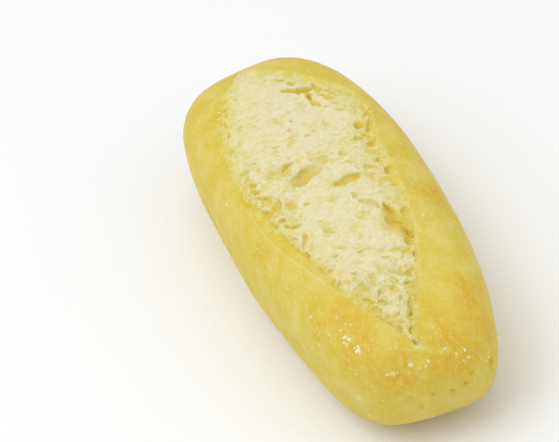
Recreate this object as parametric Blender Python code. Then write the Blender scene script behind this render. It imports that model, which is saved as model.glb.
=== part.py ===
"""Semolina ciabatta: one oval loaf of semolina dough, cut along its top before baking.

The cut tore open in the oven, so the loaf is a smooth crust round a long leaf-shaped opening,
and the airy crumb stands in that opening with its larger gas holes showing. It is one solid.

The loaf lies flat on its base with its length along X. The tip of the cut that narrows to a
point is at +X. Places on the loaf's plan are given as (along, across): shares of half the
length and of half the width, so that (0, 0) is the middle and a ring through 1 is the side.
"""

import bmesh
import bpy
import numpy as np

MM = 0.001

# Driving sizes of the loaf.
LENGTH = 220 * MM
WIDTH = 89 * MM
HEIGHT = 60 * MM
SIDE_HEIGHT = 29 * MM  # level of the widest ring above the base

# Form of the dough: exponents of 2 give an ellipse, larger ones a squarer outline.
NEAR_END_SQUARENESS = 3.6
FAR_END_SQUARENESS = 2.85
DOME_SQUARENESS = 2.9
UNDERSIDE_SQUARENESS = 2.95
UNDERSIDE_CUT = 1.12  # depth of the full underside, as a share of SIDE_HEIGHT, before the base cuts it
NEAR_END_NARROWING = 0.119
NEAR_END_RISE = 0.06
SIDEWAYS_BEND = 7.6 * MM
LEFT_BELLY = 4.5 * MM  # how far the left side swells out, at and around the place given next
LEFT_BELLY_AT = 0.083
LEFT_BELLY_LENGTH = 0.40
NEAR_END_SLANT = 0.194
FAR_END_SLANT = -0.128
LUMP_HEIGHT = 0.45 * MM
LUMP_LENGTH = 34 * MM
LUMP_WAVES = 7

# The opened cut, in shares of half the loaf's length and width.
CUT_FAR_TIP = -0.93
CUT_NEAR_TIP = 0.91
CUT_TIP_ACROSS = -0.04
CUT_LEFT_REACH = 0.79
CUT_RIGHT_REACH = 0.60
CUT_RIGHT_BULGE = 0.22
CUT_RIGHT_BULGE_AT = -0.40
CUT_RIGHT_BULGE_LENGTH = 0.20

# Crust rim round the cut, and the baked slope inside it.
LIP_HEIGHT = 0.7 * MM
LIP_REACH = 0.07  # how far the raised lip reaches out from the rim, as a share of the plan
SLOPE_WIDTH = 1.3 * MM
LEFT_SLOPE_WIDTH = 5.0 * MM
LEFT_SLOPE_AT = 0.18
LEFT_SLOPE_LENGTH = 0.34
LEFT_FOOT_DEPTH = 1.7 * MM
RIGHT_FOOT_DEPTH = 3.0 * MM
FAR_FOOT_SHARE = 0.3  # the crumb is nearly level with the crust at the far end
FAR_FOOT_AT = (-0.85, -0.25)

# Crumb: it swells from the foot of the rim up to the dough's own dome.
CRUMB_SWELL_REACH = 5.5 * MM
STRAND_HEIGHT = 0.3 * MM
STRAND_LENGTH = 9 * MM
STRAND_WAVES = 9
SMALL_HOLE_COUNT = 34
SMALL_HOLE_RADII_MM = (1.8, 2.7)
SMALL_HOLE_SPAN = (0.14, 0.92)  # along the cut, clear of its two tips
NORMAL_STEP = 0.004

# Larger gas holes: place on the plan (along, across), then half length and half width in mm, turn of
# the long axis from X in degrees, and depth in mm.
GAS_HOLES = (
    (-0.050, -0.215, 9.0, 3.4, 103, 3.6),  # the widest one, in the middle of the crumb
    (-0.104, -0.095, 6.0, 1.8, 108, 1.6),
    (0.041, 0.084, 6.5, 2.3, 84, 2.2),
    (0.369, 0.367, 10.5, 3.0, 12, 5.6),  # the long cavity under the right rim
    (-0.573, 0.209, 6.0, 1.9, 70, 3.0),  # the crack at the far end, and its two branches
    (-0.479, 0.298, 5.5, 1.9, 20, 2.8),
    (-0.463, 0.449, 4.5, 2.0, 80, 2.6),
    (-0.135, -0.630, 5.5, 3.0, 10, 3.0),
    (-0.229, -0.600, 3.2, 1.8, 70, 2.2),
    (-0.149, -0.320, 4.5, 2.6, 110, 1.8),
    (0.038, -0.571, 4.2, 2.6, 20, 2.6),
    (0.129, -0.586, 3.4, 2.4, 60, 2.4),
    (0.330, -0.560, 3.6, 2.2, 15, 2.6),
    (0.449, -0.520, 3.4, 2.1, 15, 2.6),
    (0.565, -0.455, 3.4, 2.3, 40, 2.6),
    (0.770, 0.020, 5.0, 2.1, 165, 3.2),
    (0.775, -0.200, 5.0, 1.9, 25, 2.0),
    (-0.244, 0.545, 4.2, 2.6, 60, 2.8),
    (-0.214, 0.600, 4.5, 1.9, 15, 2.8),
    (-0.165, 0.480, 3.4, 2.0, 60, 2.4),
    (0.026, 0.490, 3.6, 2.1, 40, 2.6),
    (0.109, 0.490, 3.9, 2.2, 20, 2.8),
    (0.550, 0.275, 3.4, 2.0, 10, 2.4),
    (0.643, 0.205, 3.4, 2.0, 10, 2.4),
)

# Mesh: stations along each edge of the cut, strips of crumb between the edges, and rings of crust.
STATIONS = 92
CRUMB_STRIPS = 30
UNDER_RINGS = 5
SIDE_RINGS = 8
WELD = 0.02 * MM


def squareness(along):
    """The plan's exponent, which is larger at the near end."""
    return np.where(along > 0, NEAR_END_SQUARENESS, FAR_END_SQUARENESS)


def plan_radius(along, across):
    """0 at the middle of the plan and 1 on its widest ring, by the superellipse formula."""
    power = squareness(along)
    return (np.abs(along) ** power + np.abs(across) ** power) ** (1 / power)


def on_plan(along, across):
    """X and Y of a place on the plan, with the dough's taper, bend, belly and slanted ends."""
    y = WIDTH / 2 * across * (1 - NEAR_END_NARROWING * along)
    y = y + SIDEWAYS_BEND * (1 - along**2)
    swell = np.exp(-(((along - LEFT_BELLY_AT) / LEFT_BELLY_LENGTH) ** 2))
    y = y + LEFT_BELLY * np.minimum(across, 0) * swell
    slant = np.where(along > 0, NEAR_END_SLANT, FAR_END_SLANT)
    x = LENGTH / 2 * along + slant * y * np.abs(along) ** 3
    return x, y


def dome_height(along, across):
    """Height of the dough's smooth top over a place on the plan."""
    rise = (HEIGHT - SIDE_HEIGHT) * (1 + NEAR_END_RISE * along)
    left = np.clip(1 - plan_radius(along, across) ** DOME_SQUARENESS, 0, None)
    return SIDE_HEIGHT + rise * left ** (1 / DOME_SQUARENESS)


def waves(x, y, z, length, count, seed):
    """Soft lumps from -1 to 1: the mean of cosine waves that run in seeded directions."""
    rng = np.random.default_rng(seed)
    total = 0.0
    for _ in range(count):
        direction = rng.normal(size=3)
        direction *= 2 * np.pi / length / np.linalg.norm(direction)
        phase = rng.uniform(0, 2 * np.pi)
        total = total + np.cos(direction[0] * x + direction[1] * y + direction[2] * z + phase)
    return total / np.sqrt(count)


def cut_edges(station):
    """Along, and across on the left and on the right, of the rim at 0 (far tip) to 1 (near tip)."""
    eased = 0.5 * station + 0.25 * (1 - np.cos(np.pi * station))
    along = CUT_FAR_TIP + (CUT_NEAR_TIP - CUT_FAR_TIP) * eased
    tip = np.where(along > 0, CUT_NEAR_TIP, -CUT_FAR_TIP)
    out = np.clip(np.abs(along) / tip, 0, 1)
    left = -CUT_LEFT_REACH * (1 - out**2.3)
    bulge = np.exp(-(((along - CUT_RIGHT_BULGE_AT) / CUT_RIGHT_BULGE_LENGTH) ** 2))
    fade = 1 - out**6
    right = CUT_RIGHT_REACH * (1 - out ** np.where(along > 0, 2.0, 2.6)) + CUT_RIGHT_BULGE * bulge * fade
    lean = CUT_TIP_ACROSS * station
    return along, left + lean, right + lean


def slope_widths(along):
    """Width of the baked slope inside the rim on the left and on the right."""
    broad = np.exp(-(((along - LEFT_SLOPE_AT) / LEFT_SLOPE_LENGTH) ** 4))
    return SLOPE_WIDTH + (LEFT_SLOPE_WIDTH - SLOPE_WIDTH) * broad, SLOPE_WIDTH + 0 * along


def rim_and_foot(station, side):
    """Plan places of the rim and of the foot of its slope. side is 0 on the left and 1 on the right."""
    along, left, right = cut_edges(station)
    left_width, right_width = (w / (WIDTH / 2) for w in slope_widths(along))
    room = (right - left) / 2
    foot_left = left + np.minimum(left_width, 0.45 * room)
    foot_right = right - np.minimum(right_width, 0.45 * room)
    rim = np.where(side, right, left)
    foot = np.where(side, foot_right, foot_left)
    return along, rim, foot


def outward(along, across):
    """Unit normal of the dome, from two small steps on the plan."""

    def place(a, b):
        x, y = on_plan(a, b)
        return np.stack([x, y, dome_height(a, b)], -1)

    here = place(along, across)
    normal = np.cross(place(along + NORMAL_STEP, across) - here, place(along, across + NORMAL_STEP) - here)
    return normal / np.linalg.norm(normal, axis=-1, keepdims=True)


def small_holes():
    """The smaller gas holes, in the form of GAS_HOLES, scattered over the crumb by a seeded draw."""
    rng = np.random.default_rng(11)
    station = rng.uniform(*SMALL_HOLE_SPAN, SMALL_HOLE_COUNT)
    share = rng.beta(0.7, 0.7, SMALL_HOLE_COUNT)
    along, _, left = rim_and_foot(station, 0)
    _, _, right = rim_and_foot(station, 1)
    across = left + (right - left) * share
    radius = rng.uniform(*SMALL_HOLE_RADII_MM, SMALL_HOLE_COUNT)
    turn = rng.uniform(60, 120, SMALL_HOLE_COUNT)
    return list(zip(along, across, 1.5 * radius, radius, turn, 0.9 * radius))


def hole_depth(x, y):
    """How far the gas holes sink the crumb at each point: the deepest of their bowls."""
    depth = np.zeros_like(x)
    for along, across, half_length, half_width, turn, deepest in [*GAS_HOLES, *small_holes()]:
        centre_x, centre_y = on_plan(along, across)
        c, s = np.cos(np.radians(turn)), np.sin(np.radians(turn))
        u = ((x - centre_x) * c + (y - centre_y) * s) / (half_length * MM)
        v = ((y - centre_y) * c - (x - centre_x) * s) / (half_width * MM)
        bowl = deepest * MM * np.clip(1.15 - u**2 - v**2, 0, 1) ** 0.8
        depth = np.maximum(depth, bowl)
    return depth


def foot_depths(along):
    """How far the foot of the rim's slope lies under the dome, on the left and on the right."""
    start, end = FAR_FOOT_AT
    share = np.clip((along - start) / (end - start), 0, 1)
    share = FAR_FOOT_SHARE + (1 - FAR_FOOT_SHARE) * share * share * (3 - 2 * share)
    return LEFT_FOOT_DEPTH * share, RIGHT_FOOT_DEPTH * share


def crumb_points(station, share):
    """Surface of the torn crumb at 0 to 1 along the cut and 0 (left foot) to 1 (right foot) across."""
    along, _, left = rim_and_foot(station, 0)
    _, _, right = rim_and_foot(station, 1)
    across = left + (right - left) * share
    x, y = on_plan(along, across)
    gap = (right - left) * WIDTH / 2
    left_depth, right_depth = foot_depths(along)
    foot = left_depth * np.exp(-share * gap / CRUMB_SWELL_REACH)
    foot = foot + right_depth * np.exp(-(1 - share) * gap / CRUMB_SWELL_REACH)
    inside = np.clip(24 * share * (1 - share), 0, 1)  # 0 at both feet, where the relief dies away
    strands = STRAND_HEIGHT * waves(x, y * 0.4, 0, STRAND_LENGTH, STRAND_WAVES, 5)
    relief = (strands - hole_depth(x, y)) * inside - foot
    dome = np.stack([x, y, dome_height(along, across)], -1)
    return dome + outward(along, across) * relief[..., None]


def crust_points(around, ring):
    """Surface of the crust. around runs up the left rim and back down the right one, and ring is the
    row of the grid: the underside, the widest ring, the side and top, the rim, and the foot."""
    side = around > STATIONS
    station = np.where(side, 2 * STATIONS - around, around) / STATIONS
    along, rim, foot = rim_and_foot(station, side)
    rim_radius = plan_radius(along, rim)
    to_side = 1 / rim_radius
    # Underside: from where the base cuts it to the widest ring.
    base_angle = np.arcsin(UNDERSIDE_CUT ** (-UNDERSIDE_SQUARENESS / 2))
    angle = base_angle * (1 - np.clip(ring / UNDER_RINGS, 0, 1))
    under_radius = np.cos(angle) ** (2 / UNDERSIDE_SQUARENESS)
    under_height = SIDE_HEIGHT * (1 - UNDERSIDE_CUT * np.sin(angle) ** (2 / UNDERSIDE_SQUARENESS))
    # Side and top: from the widest ring to the rim, in even steps of the superellipse's angle.
    rise = np.clip((ring - UNDER_RINGS) / SIDE_RINGS, 0, 1)
    rim_angle = np.arccos(rim_radius ** (DOME_SQUARENESS / 2))
    radius = np.cos(rise * rim_angle) ** (2 / DOME_SQUARENESS)
    radius = np.where(ring < UNDER_RINGS, under_radius, radius)
    a, b = along * to_side * radius, rim * to_side * radius
    z = np.where(ring < UNDER_RINGS, under_height, dome_height(a, b))
    lip = LIP_HEIGHT * np.exp(-(((radius - rim_radius) / LIP_REACH) ** 2))
    z = z + np.where(ring > UNDER_RINGS, lip, 0)
    x, y = on_plan(a, b)
    # The last row is the foot of the slope, which is the edge of the crumb.
    edge = crumb_points(station, np.where(side, 1.0, 0.0))
    last = ring > UNDER_RINGS + SIDE_RINGS
    points = np.stack([np.where(last, edge[..., 0], x), np.where(last, edge[..., 1], y)], -1)
    z = np.where(last, edge[..., 2], z)
    lumps = LUMP_HEIGHT * waves(points[..., 0], points[..., 1], z, LUMP_LENGTH, LUMP_WAVES, 3)
    z = z + np.where(last | (ring == 0), 0, lumps)
    return np.concatenate([points, z[..., None]], -1)


def add_grid(bm, columns, rows, surface):
    """A grid primitive whose vertices are moved to surface(column, row)."""
    made = bmesh.ops.create_grid(bm, x_segments=columns, y_segments=rows, size=1)["verts"]
    flat = np.array([v.co for v in made])
    column = np.rint((flat[:, 0] + 1) / 2 * columns)
    row = np.rint((flat[:, 1] + 1) / 2 * rows)
    for vertex, place in zip(made, surface(column, row)):
        vertex.co = place


def scaled_to_size(mesh):
    """Centres the mesh on the plan, stands it on z = 0 and gives it the driving sizes."""
    points = np.empty(len(mesh.vertices) * 3, np.float32)
    mesh.vertices.foreach_get("co", points)
    points = points.reshape(-1, 3).astype(float)
    low, high = points.min(0), points.max(0)
    middle = np.array([(low[0] + high[0]) / 2, (low[1] + high[1]) / 2, low[2]])
    points = (points - middle) * np.array([LENGTH, WIDTH, HEIGHT]) / (high - low)
    mesh.vertices.foreach_set("co", points.astype(np.float32).ravel())
    mesh.update()


def crust_material():
    """Pale golden semolina crust, matt with a faint sheen."""
    material = bpy.data.materials.new("semolina_crust")
    material.use_nodes = True
    shader = material.node_tree.nodes["Principled BSDF"]
    shader.inputs["Base Color"].default_value = (0.72, 0.56, 0.16, 1)
    shader.inputs["Roughness"].default_value = 0.62
    shader.inputs["Metallic"].default_value = 0
    return material


def make_loaf():
    """The loaf as one closed solid: crust grid, crumb grid and flat base welded together."""
    bm = bmesh.new()
    rings = UNDER_RINGS + SIDE_RINGS + 1
    add_grid(bm, 2 * STATIONS, rings, crust_points)
    add_grid(bm, STATIONS, CRUMB_STRIPS, lambda s, t: crumb_points(s / STATIONS, t / CRUMB_STRIPS))
    bmesh.ops.remove_doubles(bm, verts=bm.verts, dist=WELD)
    bmesh.ops.holes_fill(bm, edges=[e for e in bm.edges if e.is_boundary], sides=0)
    bmesh.ops.recalc_face_normals(bm, faces=bm.faces)
    bmesh.ops.triangulate(bm, faces=bm.faces)
    mesh = bpy.data.meshes.new("loaf")
    bm.to_mesh(mesh)
    bm.free()
    scaled_to_size(mesh)
    mesh.materials.append(crust_material())
    mesh.shade_smooth()
    return bpy.data.objects.new("loaf", mesh)


def main():
    for old in list(bpy.data.objects):
        bpy.data.objects.remove(old)
    collection = bpy.data.collections.new("semolina_ciabatta")
    bpy.context.scene.collection.children.link(collection)
    collection.objects.link(make_loaf())


main()
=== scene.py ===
"""The looks of a semolina ciabatta: its crust, the crumb torn open along its cut, and the pale
blisters and flour grains on the crust.

A place on the loaf's plan is (along, across), in shares of half its length and half its width, so
the ring through 1 is its widest outline. The sharp tip of the cut is at along 0.91.
"""

from functools import partial

import bmesh
import bpy
import numpy as np
from mathutils import Matrix, Vector


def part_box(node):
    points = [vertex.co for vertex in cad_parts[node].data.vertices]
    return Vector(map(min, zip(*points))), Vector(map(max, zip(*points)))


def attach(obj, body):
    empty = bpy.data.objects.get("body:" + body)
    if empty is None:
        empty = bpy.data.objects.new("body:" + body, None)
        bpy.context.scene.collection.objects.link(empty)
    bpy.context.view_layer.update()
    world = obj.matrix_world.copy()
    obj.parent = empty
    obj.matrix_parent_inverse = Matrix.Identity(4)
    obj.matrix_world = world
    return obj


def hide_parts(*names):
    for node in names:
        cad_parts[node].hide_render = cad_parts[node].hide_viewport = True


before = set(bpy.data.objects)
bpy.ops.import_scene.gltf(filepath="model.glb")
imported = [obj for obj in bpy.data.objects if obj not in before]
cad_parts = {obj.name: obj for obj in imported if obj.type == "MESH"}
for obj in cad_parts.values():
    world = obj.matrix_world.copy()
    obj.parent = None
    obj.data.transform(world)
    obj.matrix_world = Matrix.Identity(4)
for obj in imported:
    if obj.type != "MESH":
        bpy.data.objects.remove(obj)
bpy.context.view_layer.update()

# ------------------------------------
# Crust. The skin of the loaf is semolina dough that dried and set in the oven, pale gold all over
# and light brown on its highest shoulders. One long cut was made along the top before baking. The
# oven tore it open, so the skin ends in a rim, and dips from the rim to the foot of the crumb.

MM = 0.001
loaf_low, loaf_high = (np.array(corner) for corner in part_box("loaf"))
LENGTH, WIDTH, HEIGHT = loaf_high - loaf_low
SIDE_HEIGHT = 29 * MM
SIDE_ROOM = np.array([0.15, 0.15, 0.0]) * MM  # for the grains that stand on the crust
BASE_ANGLE = np.arcsin(1.12**-1.475)  # where the flat base cuts the rounded underside
CUT_FAR_TIP, CUT_NEAR_TIP = -0.93, 0.91


def held(value):
    """The value, held between 0 and 1."""
    return np.clip(value, 0, 1)


def ease(value):
    """0 to 1, with a slow start and end: t^2 (3 - 2t), with t the value held between 0 and 1."""
    t = held(value)
    return t * t * (3 - 2 * t)


def bell(distance, width):
    """1 at no distance, and falling off past the width: exp(-(distance / width)^2)."""
    return np.exp(-((distance / width) ** 2))


def turned(x, y, angle):
    """x and y seen from axes turned by an angle: (x cos + y sin, y cos - x sin)."""
    c, s = np.cos(angle), np.sin(angle)
    return x * c + y * s, y * c - x * s


def plan_radius(along, across):
    """0 in the middle and 1 on the widest ring: the superellipse (|along|^n + |across|^n)^(1/n)."""
    n = np.where(along > 0, 3.6, 2.85)
    return (np.abs(along) ** n + np.abs(across) ** n) ** (1 / n)


def on_plan(along, across):
    """X and Y of a place: half sizes times the shares, narrowed along X, bent sideways, bellied on the
    left, and with both ends slanted by a cubic of the distance from the middle."""
    y = WIDTH / 2 * across * (1 - 0.119 * along) + 7.6 * MM * (1 - along**2)
    y = y + 4.5 * MM * np.minimum(across, 0) * bell(along - 0.083, 0.40)
    x = LENGTH / 2 * along + np.where(along > 0, 0.194, -0.128) * y * np.abs(along) ** 3
    return x, y


def dome_height(along, across):
    """Height of the top: the side's height plus a rise times (1 - radius^n)^(1/n), n = 2.9."""
    left = np.maximum(1 - plan_radius(along, across) ** 2.9, 0) ** (1 / 2.9)
    return SIDE_HEIGHT + (HEIGHT - SIDE_HEIGHT) * (1 + 0.06 * along) * left


def on_dome(along, across, below=0):
    """X, Y and Z of a place at the dome's height, or as far below it."""
    return np.stack([*on_plan(along, across), dome_height(along, across) - below], -1)


def cut_edges(along):
    """Across, on the left and on the right, of the rim of the cut. Each is a reach times
    (1 - |along / tip|^n), and the right one has a bulge of Gaussian form at its far end."""
    out = held(np.abs(along) / np.where(along > 0, CUT_NEAR_TIP, -CUT_FAR_TIP))
    bulge = 0.22 * bell(along + 0.40, 0.20) * (1 - out**6)
    lean = -0.04 * (along - CUT_FAR_TIP) / (CUT_NEAR_TIP - CUT_FAR_TIP)
    right = 0.60 * (1 - out ** np.where(along > 0, 2.0, 2.6)) + bulge
    return -0.79 * (1 - out**2.3) + lean, right + lean


def cut_feet(along):
    """Across, on the left and on the right, of the foot of the baked slope inside the rim. The slope is
    1.3 mm wide, and up to 6.2 mm on the left of the near half."""
    left, right = cut_edges(along)
    broad = 1.3 * MM + 4.9 * MM * np.exp(-(((along - 0.18) / 0.34) ** 4))
    room = 0.45 * (right - left) / 2
    narrow = 1.3 * MM / (WIDTH / 2)
    return left + np.minimum(broad / (WIDTH / 2), room), right - np.minimum(narrow, room)


def foot_depths(along):
    """Depth of the feet below the dome: 1.7 mm left and 3 mm right, and 0.3 of that at the far end."""
    share = 0.3 + 0.7 * ease((along + 0.85) / 0.60)
    return 1.7 * MM * share, 3.0 * MM * share


def soft_noise(points, grain, seed):
    """-1 to 1: seeded numbers at the corners of a lattice of cells of side grain (one length, or one for
    each axis), eased in between by t^2 (3 - 2t)."""
    table = np.random.default_rng(seed).uniform(-1, 1, (32, 32, 32))
    place = points / np.asarray(grain)
    corner = np.floor(place).astype(int)
    t = ease(place - corner)
    total = np.zeros(points.shape[:-1])
    for step in np.ndindex(2, 2, 2):
        weight = np.prod(np.where(step, t, 1 - t), axis=-1)
        i, j, k = np.moveaxis((corner + step) % 32, -1, 0)
        total += weight * table[i, j, k]
    return total


def lumps(points):
    """Soft lumps of the dough: the mean of seven cosine waves 34 mm long in seeded directions."""
    rng = np.random.default_rng(3)
    total = 0.0
    for _ in range(7):
        direction = rng.normal(size=3)
        direction *= 2 * np.pi / (34 * MM) / np.linalg.norm(direction)
        total = total + np.cos(points @ direction + rng.uniform(0, 2 * np.pi))
    return total / np.sqrt(7)


def along_noise(along, grain, seed):
    """-1 to 1: soft noise that changes only along the loaf, in waves of about twice grain."""
    line = np.stack([along * LENGTH / 2, 0 * along + seed * grain / 2, 0 * along], -1)
    return soft_noise(line, grain, seed)


def skin_share(along):
    """1 where skin set on the slope inside the left rim, 0 where crumb reaches the rim."""
    return np.exp(-(((along - 0.20) / 0.34) ** 4))


def lip_share(along, across):
    """How much of the rim's raised lip is there: least at the far left, and uneven all along."""
    left = 0.10 + 0.90 * skin_share(along)
    right = 0.45 + 0.20 * np.clip(along * 2, -1, 1)
    return np.where(across < 0, left, right) * (0.75 + 0.35 * along_noise(along, 9 * MM, 24))


def dome_point(along, across, radius_share):
    """A point of the top on the line from the middle of the plan through (along, across), at
    radius_share of the way from the widest ring to that place, in even steps of the dome's angle."""
    rim_radius = plan_radius(along, across)
    radius = np.cos(radius_share * np.arccos(rim_radius**1.45)) ** (1 / 1.45)
    a, b = along / rim_radius * radius, across / rim_radius * radius
    lip = 0.7 * MM * bell(radius - rim_radius, 0.07) * lip_share(along, across)
    return on_dome(a, b, -lip)


def crust_base(around, level):
    """The crust without its fine relief. around goes 0 to 1 up the left rim of the cut and 1 to 2 back
    down the right one. level goes 0 to 1 over the flat base, 1 to 2 up the underside, a superellipse of
    power 2.95, 2 to 3 over the side and the dome, 3 to 4 over the rim, a rational quadratic curve from
    the dome over the rim's corner to the foot, and 4 to 5 under the crumb to the middle of the cut."""
    left_side = around <= 1
    station = np.where(left_side, around, 2 - around)
    eased = 0.5 * station + 0.25 * (1 - np.cos(np.pi * station))
    along = CUT_FAR_TIP + (CUT_NEAR_TIP - CUT_FAR_TIP) * eased
    across = np.where(left_side, *cut_edges(along))
    outward = 1 / plan_radius(along, across)
    # Base and underside.
    angle = BASE_ANGLE * (1 - held(level - 1))
    radius = np.cos(angle) ** (2 / 2.95) * held(level)
    z = SIDE_HEIGHT * (1 - 1.12 * np.sin(angle) ** (2 / 2.95))
    under = np.stack([*on_plan(along * outward * radius, across * outward * radius), z], -1)
    # Side and dome, then the rounded corner of the rim.
    top = dome_point(along, across, 0.965 * held(level - 2))
    corner = dome_point(along, across, 1.0)
    feet = cut_feet(along)
    side_foot = np.where(left_side, *feet)
    depth = np.where(left_side, *foot_depths(along))
    foot = on_dome(along, side_foot, depth)
    tear = 0.55 * along_noise(along, 4 * MM, 25) + 0.35 * along_noise(along, 1.5 * MM, 26)
    tear *= np.where(left_side, 1 - 0.75 * skin_share(along), 1.0) * held((0.96 - np.abs(along)) * 4)
    corner[..., 1] += 0.5 * MM * tear
    corner[..., 2] += 0.2 * MM * along_noise(along, 2.5 * MM, 27) * held((0.96 - np.abs(along)) * 3)
    t = held(level - 3)[..., None]
    sharp = np.where(left_side, 1.2 + 1.8 * skin_share(along), 1.1)[..., None]
    start, bend, end = (1 - t) ** 2, 2 * sharp * t * (1 - t), t**2
    rim = (start * top + bend * corner + end * foot) / (start + bend + end)
    # Under the crumb.
    share = held(level - 4)
    inner = side_foot * (1 - share) + (feet[0] + feet[1]) / 2 * share
    gap = np.abs(inner - side_foot) * WIDTH / 2
    fall = ease(gap / (2 * MM)) * (10 * MM - depth)
    trough = on_dome(along, inner, depth + fall)
    points = np.where((level < 2)[..., None], under, top)
    points = np.where((level > 3)[..., None], rim, points)
    points = np.where((level > 4)[..., None], trough, points)
    rise = held(level - 1) * held(4 - level)
    points[..., 2] += 0.45 * MM * lumps(points) * rise
    return points, along


def normals_of(grid):
    """Unit normals of a grid of points, from the cross product of its two differences."""
    normal = np.cross(np.gradient(grid, axis=0), np.gradient(grid, axis=1))
    return normal / np.maximum(np.linalg.norm(normal, axis=-1, keepdims=True), 1e-12)


def fitted(points):
    """Moves and scales raw points so that the crust fills the loaf's own box, less a hair at the sides."""
    low, high = loaf_low + SIDE_ROOM, loaf_high - SIDE_ROOM
    return (points - crust_low) * (high - low) / (crust_high - crust_low) + low


def add_object(name, data):
    """A new object of the scene with a mesh, a camera or a light."""
    added = bpy.data.objects.new(name, data)
    bpy.context.scene.collection.objects.link(added)
    return added


def make_piece(name, points, faces, material, open_ends=False, **values):
    """A smooth mesh with doubled points merged, its open ends closed if it has them, faces turned outwards
    and one float attribute for each named array, riding on the loaf's one body."""
    mesh = bpy.data.meshes.new(name)
    mesh.from_pydata(points.tolist(), [], faces.tolist())
    for key, value in values.items():
        mesh.attributes.new(key, "FLOAT", "POINT").data.foreach_set("value", value.astype(np.float32))
    shaped = bmesh.new()
    shaped.from_mesh(mesh)
    bmesh.ops.remove_doubles(shaped, verts=shaped.verts, dist=1e-6)
    if open_ends:
        bmesh.ops.holes_fill(shaped, edges=[side for side in shaped.edges if side.is_boundary], sides=0)
    bmesh.ops.recalc_face_normals(shaped, faces=shaped.faces)
    shaped.to_mesh(mesh)
    shaped.free()
    mesh.shade_smooth()
    mesh.materials.append(material)
    piece = add_object(name, mesh)
    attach(piece, "root")
    return piece


def grid_faces(rows, columns, wrap):
    """Quads between neighbouring points of a grid. wrap joins its last column to its first."""
    index = np.arange(rows * columns).reshape(rows, columns)
    if wrap:
        index = np.concatenate([index, index[:, :1]], 1)
    quads = [index[:-1, :-1], index[:-1, 1:], index[1:, 1:], index[1:, :-1]]
    return np.stack(quads, -1).reshape(-1, 4)


def colour(code):
    """Linear RGBA of an sRGB hex code."""
    part = np.array([int(code[i : i + 2], 16) / 255 for i in (1, 3, 5)])
    part = np.where(part > 0.04045, ((part + 0.055) / 1.055) ** 2.4, part / 12.92)
    return (*part.tolist(), 1.0)


def add_node(material, kind, inputs=(), **settings):
    """Adds a shader node of a kind, such as "Mix", sets its properties, and sets or links each (socket,
    value or output) of inputs."""
    node = material.node_tree.nodes.new("ShaderNode" + kind)
    for key, value in settings.items():
        setattr(node, key, value)
    for key, value in dict(inputs).items():
        if isinstance(value, bpy.types.NodeSocket):
            material.node_tree.links.new(value, node.inputs[key])
        else:
            node.inputs[key].default_value = value
    return node


def new_material(name):
    """An empty node material, and add_node bound to it."""
    material = bpy.data.materials.new(name)
    material.use_nodes = True
    material.node_tree.nodes.clear()
    return material, partial(add_node, material)


def set_ramp(node, stops):
    """Gives a colour ramp its (place, hex code) stops."""
    elements = node.color_ramp.elements
    while len(elements) < len(stops):
        elements.new(0.5)
    for element, (place, code) in zip(elements, stops):
        element.position, element.color = place, colour(code)


# Baked semolina crust: matt, with a faint sheen from gelled starch. It gives the eye an even warm
# yellow with soft golden patches, dusty pale freckles and a very fine grain, and painted shade: a darker
# olive gold low on the loaf and on its right side, and a deeper gold in its pores.
crust_material, crust_node = new_material("baked_semolina_crust")
place = crust_node("TexCoord").outputs["Object"]
toast, baked_low = (
    crust_node("Attribute", attribute_name=name).outputs["Fac"] for name in ("toast", "baked_low")
)
long_place = crust_node(
    "VectorMath", {0: place, 1: (1 / (5 * MM), 1 / (1.7 * MM), 1 / (1.7 * MM))}, operation="MULTIPLY"
).outputs[0]
# Mottles, freckles, dust and long smears: place, grain, detail, the noise from and to which it counts,
# and what it is at those.
patterns = []
for vector, grain, detail, low, high, least, most in (
    (place, 9 * MM, 5.0, 0.30, 0.70, -0.16, 0.16),
    (place, 2.2 * MM, 2.0, 0.52, 0.78, 0.0, 0.24),
    (place, 0.85 * MM, 1.0, 0.54, 0.80, 0.0, 0.30),
    (long_place, 1.0, 1.0, 0.58, 0.80, 0.0, 0.28),
):
    noise = crust_node("TexNoise", {"Vector": vector, "Scale": 1 / grain, "Detail": detail}).outputs["Fac"]
    patterns.append(crust_node(
        "MapRange",
        {"Value": noise, "From Min": low, "From Max": high, "To Min": least, "To Max": most},
    ).outputs["Result"])
mottle, flour, dust, smear = patterns
browning_and_pit_shade = crust_node("Math", {0: toast, 1: mottle}, operation="ADD").outputs[0]
crust_ramp = crust_node("ValToRGB", {"Fac": browning_and_pit_shade})
set_ramp(crust_ramp, [
    (0.0, "#e6dca2"), (0.2, "#e3d070"), (0.42, "#dec64a"), (0.7, "#ddb531"), (1.0, "#dba427"),
])
for pattern in (dust, smear):
    flour = crust_node("Math", {0: flour, 1: pattern}, operation="ADD").outputs[0]
crust_colour = crust_ramp.outputs["Color"]
# Pale flour specks, then painted shade: a darker olive gold low on the loaf and on its right side.
for share, code in ((flour, "#ede09c"), (baked_low, "#cfb447")):
    crust_colour = crust_node(
        "Mix", {"Factor": share, "A": crust_colour, "B": colour(code)}, data_type="RGBA"
    ).outputs["Result"]
skin_grain = crust_node("TexNoise", {"Vector": place, "Scale": 1 / (0.9 * MM), "Detail": 3.0}).outputs["Fac"]
skin_bump = crust_node(
    "Bump", {"Height": skin_grain, "Strength": 0.35, "Distance": 0.25 * MM}
).outputs["Normal"]
crust_shader = crust_node(
    "BsdfPrincipled",
    {"Base Color": crust_colour, "Roughness": 0.6, "IOR": 1.45, "Specular IOR Level": 0.28,
     "Normal": skin_bump, "Subsurface Weight": 0.15, "Subsurface Radius": (1.0, 0.7, 0.25),
     "Subsurface Scale": 1.5 * MM},
)
crust_node("OutputMaterial", {"Surface": crust_shader.outputs[0]})

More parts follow.
